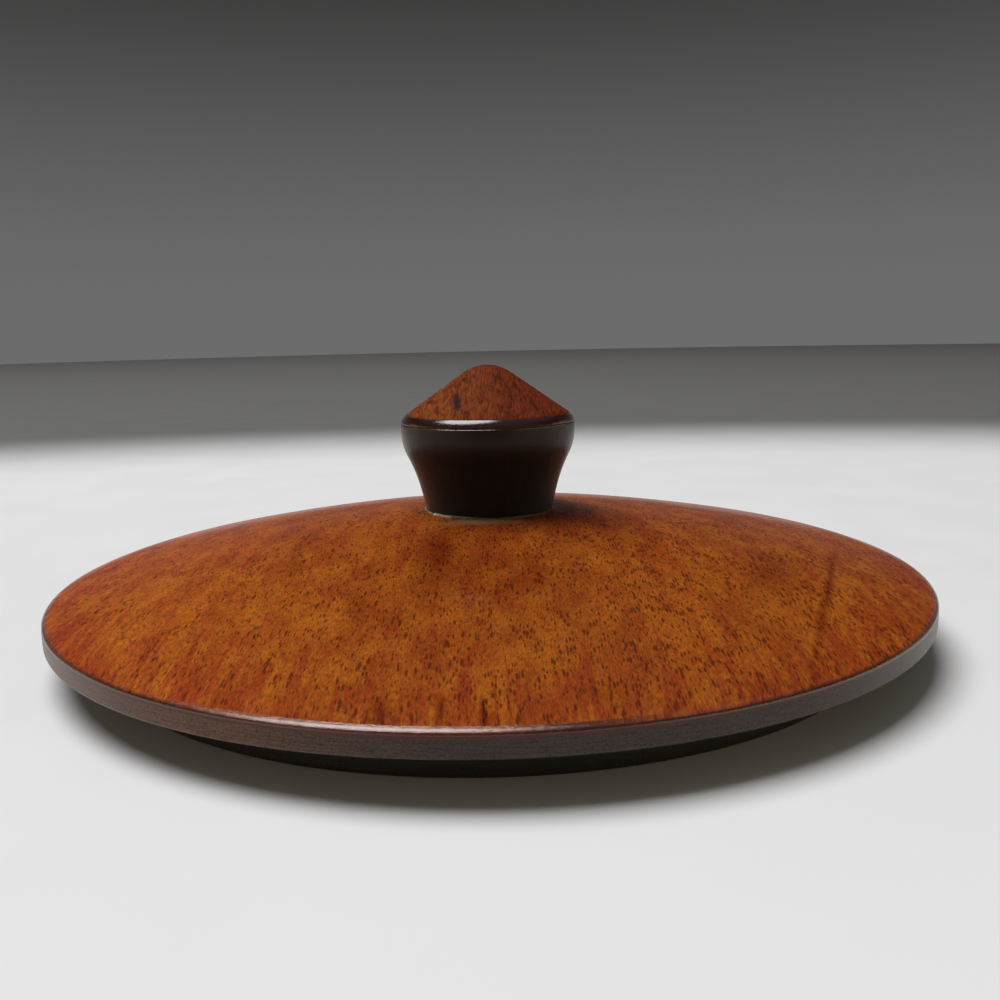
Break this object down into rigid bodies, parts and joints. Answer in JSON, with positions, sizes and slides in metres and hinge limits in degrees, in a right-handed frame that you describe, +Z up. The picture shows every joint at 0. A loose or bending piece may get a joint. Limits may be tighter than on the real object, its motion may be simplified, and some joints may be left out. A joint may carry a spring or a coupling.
{
  "type": "trinket box lid",
  "caption": "Round turned wooden lid with a crowned top, a flared knob with a conical tip, and a spigot underneath that drops into the mouth of a trinket box.",
  "frame": {"origin": "on the lid's axis, in the plane of the spigot's lower face", "axes": "+Z up along the lid's axis, out of the knob's tip; +Y along the lid's grain, away from the viewer of the picture"},
  "size_m": [0.09, 0.09, 0.028],
  "materials": {
    "lid_wood": "amber-brown open-pored hardwood, satin polish",
    "knob_wood": "darker red-brown open-pored hardwood, polished",
    "dried_glue": "pale dried glue, matt"
  },
  "bodies": {
    "root": {"lid": "lid_wood", "knob": "knob_wood", "glue_line": "dried_glue"}
  },
  "joints": []
}
